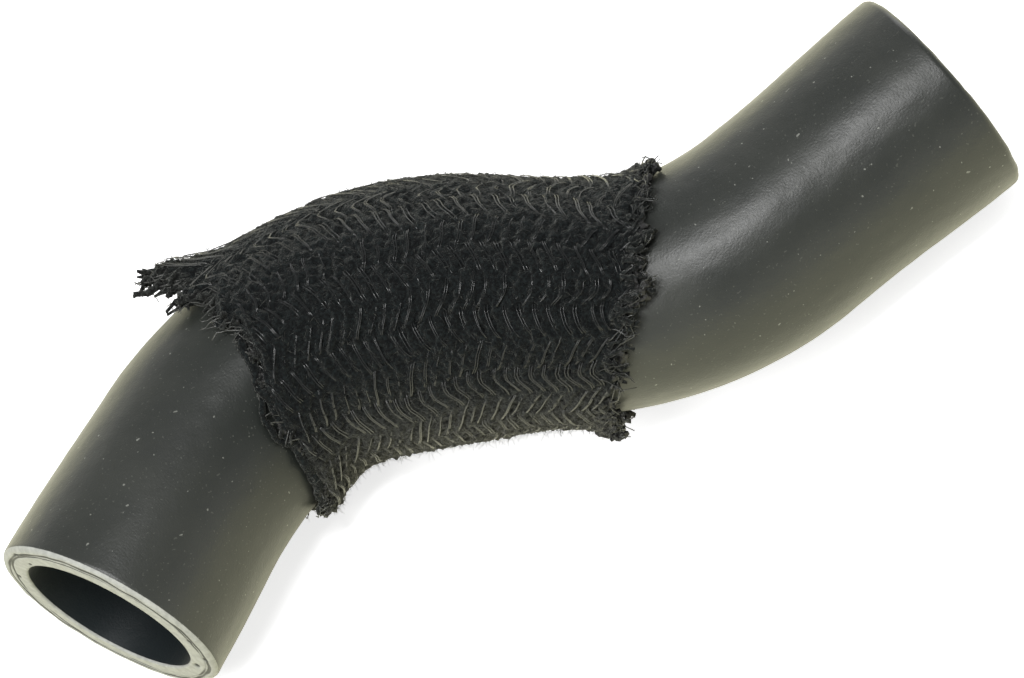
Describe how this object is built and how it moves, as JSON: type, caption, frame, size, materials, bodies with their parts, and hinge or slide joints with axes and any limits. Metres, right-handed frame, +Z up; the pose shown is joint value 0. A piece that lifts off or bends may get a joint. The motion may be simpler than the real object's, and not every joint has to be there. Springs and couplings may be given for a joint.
{
  "type": "air intake duct",
  "caption": "Moulded rubber air intake hose with two bends, open at both ends, under a ragged-ended braided protective sleeve.",
  "frame": {"origin": "middle of the footprint, on the surface that the hose lies on", "axes": "+X along the longer straight end, out of its mouth; +Y level, to the left of +X; +Z up, square to the plane of the two bends"},
  "size_m": [0.1682, 0.0834, 0.0425],
  "materials": {
    "rubber": "semi-matt moulded rubber",
    "braid": "fluffy black yarn braided with glossy black monofilament"
  },
  "bodies": {
    "root": {"rubber_hose": "rubber", "braided_sleeve": "braid"}
  },
  "joints": []
}
